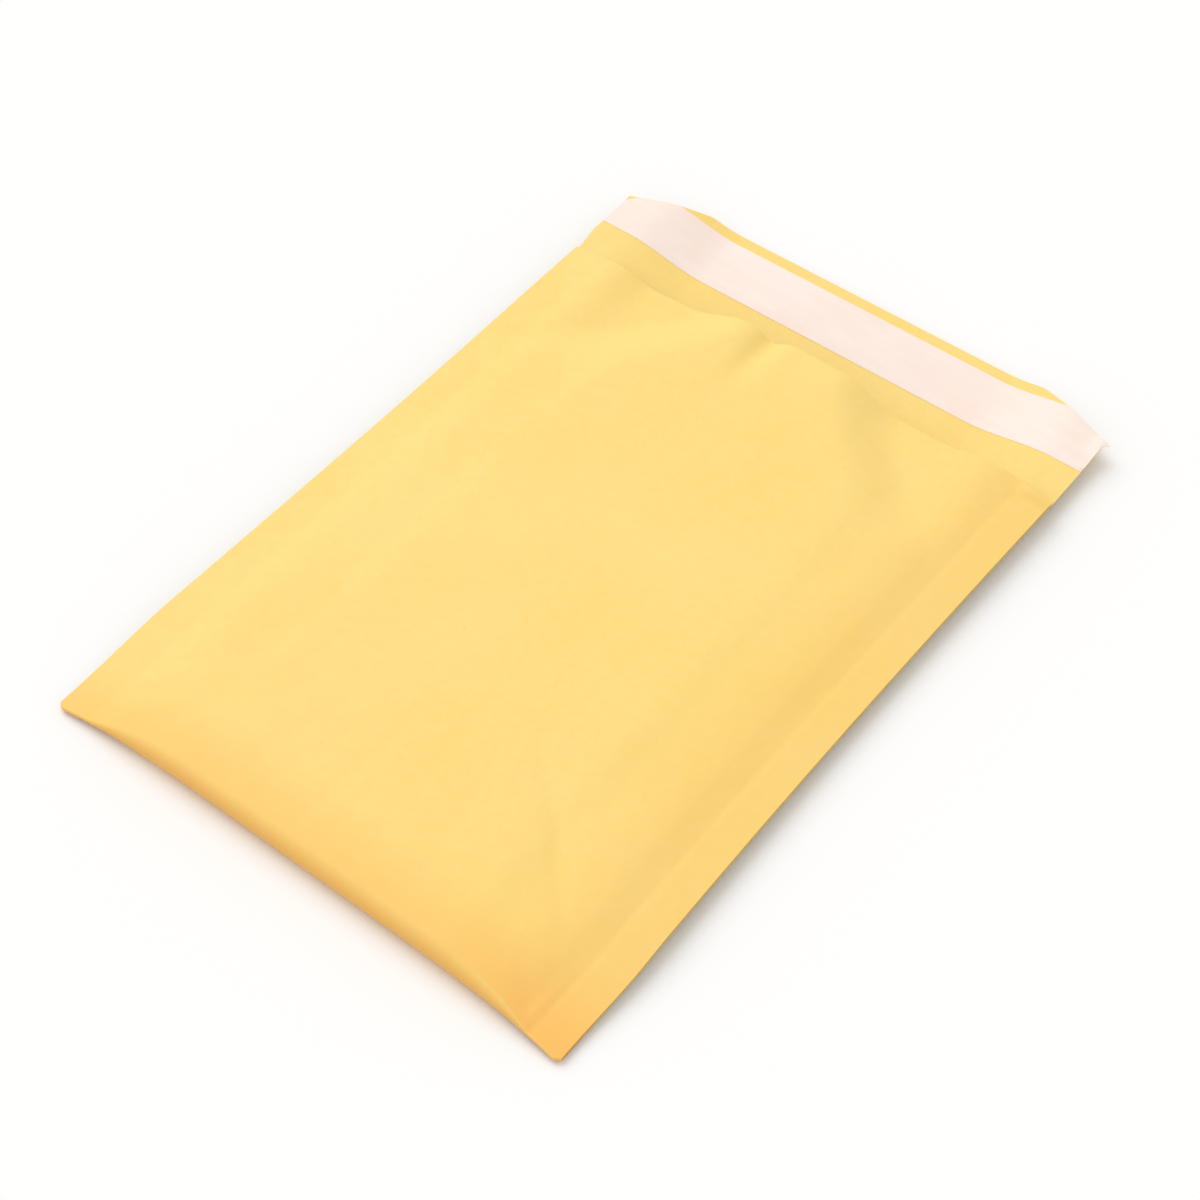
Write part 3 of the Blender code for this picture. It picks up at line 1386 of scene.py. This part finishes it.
@dataclass(frozen=True)
class ClearGlueFinish:
    """Tacky clear glue, faintly amber, with the grain of the roller that laid it."""

    thin: Colour = (0.93, 0.86, 0.66)
    thick: Colour = (0.86, 0.76, 0.50)
    grain_wave: float = 0.0016
    roughness: float = 0.22
    roughness_swing: float = 0.12
    cover: float = 0.62
    cover_swing: float = 0.20
    grain_depth: float = 0.00008

    def make(self) -> bpy.types.Material:
        """Builds the material."""
        bench = FinishBench("clear_glue")
        grain = bench.noise(bench.place(), self.grain_wave)
        bench.connect(
            bench.shader,
            {
                "Base Color": bench.mixed(grain, self.thin, self.thick),
                "Roughness": self.roughness + self.roughness_swing * grain,
                "Alpha": self.cover + self.cover_swing * grain,
                "Normal": bench.bump(grain, self.grain_depth),
            },
        )
        return bench.material


@dataclass(frozen=True)
class Studio:
    """The pale floor, the soft light and the camera."""

    floor_size: float = 8.0
    floor_cells: int = 4
    floor_drop: float = 0.0001
    floor_colour: Colour = WHITE
    floor_bounce: Colour = (0.80, 0.80, 0.80)
    sky_colour: Colour = (1.0, 0.985, 0.96)
    sky_level: float = 0.745
    key_colour: Colour = (0.99, 1.0, 1.02)
    key_level: float = 0.265
    key_from: Axes = (-0.62, 0.22, 0.75)
    key_spread: float = math.radians(50)
    azimuth: float = math.radians(38.06)
    elevation: float = math.radians(51.0)
    distance: float = 0.6607
    target: Axes = (0.00425, -0.0126, 0.0)
    focal_pixels: float = 2309.0
    frame_pixels: float = 1200.0
    film_side: float = 36.0

    def floor(self) -> None:
        """Lays a white floor, which sends a little less light back to the object than the camera sees."""
        bench = FinishBench("floor")
        path = bench.node("ShaderNodeLightPath")
        seen = bench.signal(path, "Is Camera Ray")
        colour = bench.mixed(seen, self.floor_bounce, self.floor_colour)
        bench.connect(bench.shader, {"Base Color": colour, "Roughness": 1.0, "Specular IOR Level": 0.0})
        mesh = bmesh.new()
        cells = self.floor_cells
        bmesh.ops.create_grid(mesh, x_segments=cells, y_segments=cells, size=self.floor_size / 2)
        bmesh.ops.translate(mesh, verts=mesh.verts[:], vec=Vector((0.0, 0.0, -self.floor_drop)))
        finished_piece(mesh, "studio_floor", bench.material)

    def sky(self) -> None:
        """Lights the scene evenly, and shows as white to the camera and in gloss."""
        world = bpy.data.worlds.new("soft_sky")
        world.use_nodes = True
        world.node_tree.nodes.clear()
        bench = ShaderBench(world.node_tree)
        path = bench.node("ShaderNodeLightPath")
        glossy = bench.signal(path, "Is Glossy Ray").highest(bench.signal(path, "Is Transmission Ray"))
        shown = bench.signal(path, "Is Camera Ray").highest(glossy)
        lit = {"Color": (*self.sky_colour, 1.0), "Strength": self.sky_level}
        light = bench.signal(bench.node("ShaderNodeBackground", None, lit))
        white = bench.signal(bench.node("ShaderNodeBackground", None, {"Color": (*WHITE, 1.0)}))
        mix = bench.node("ShaderNodeMixShader", None, {"Fac": shown, 1: light, 2: white})
        bench.node("ShaderNodeOutputWorld", None, {"Surface": bench.signal(mix)})
        bpy.context.scene.world = world

    def key(self) -> None:
        """Hangs one broad soft light on the side of the left seam."""
        source = Vector(self.key_from).normalized()
        data = bpy.data.lights.new("key", "SUN")
        data.energy = self.key_level * math.pi / source.z
        data.angle = self.key_spread
        data.color = self.key_colour
        lamp = bpy.data.objects.new("key", data)
        lamp.rotation_euler = source.to_track_quat("Z", "Y").to_euler()
        bpy.context.scene.collection.objects.link(lamp)

    def camera(self) -> None:
        """Stands the camera at the photograph's angle and distance."""
        flat = math.cos(self.elevation)
        across, along = math.sin(self.azimuth), -math.cos(self.azimuth)
        back = Vector((across * flat, along * flat, math.sin(self.elevation)))
        data = bpy.data.cameras.new("camera")
        data.sensor_fit = "HORIZONTAL"
        data.sensor_width = self.film_side
        data.lens = self.focal_pixels / self.frame_pixels * self.film_side
        eye = bpy.data.objects.new("camera", data)
        eye.location = Vector(self.target) + back * self.distance
        eye.rotation_euler = back.to_track_quat("Z", "Y").to_euler()
        bpy.context.scene.collection.objects.link(eye)
        bpy.context.scene.camera = eye

    def build(self) -> None:
        """Sets up the whole studio."""
        self.floor()
        self.sky()
        self.key()
        self.camera()
        bpy.context.scene.view_settings.view_transform = "Standard"


def main() -> None:
    """Builds the studio and the four pieces."""
    logging.basicConfig(level=logging.INFO, format="%(name)s: %(message)s")
    Studio().build()
    form = EnvelopeForm()
    OuterPaper(form).build(EnvelopePaperFinish().make())
    BubbleLining(form).build(BubbleFilmFinish().make())
    GlueBand(form).build(ClearGlueFinish().make())
    PeelStrip(form).build(ReleasePaperFinish().make())


if __name__ == "__main__":
    main()
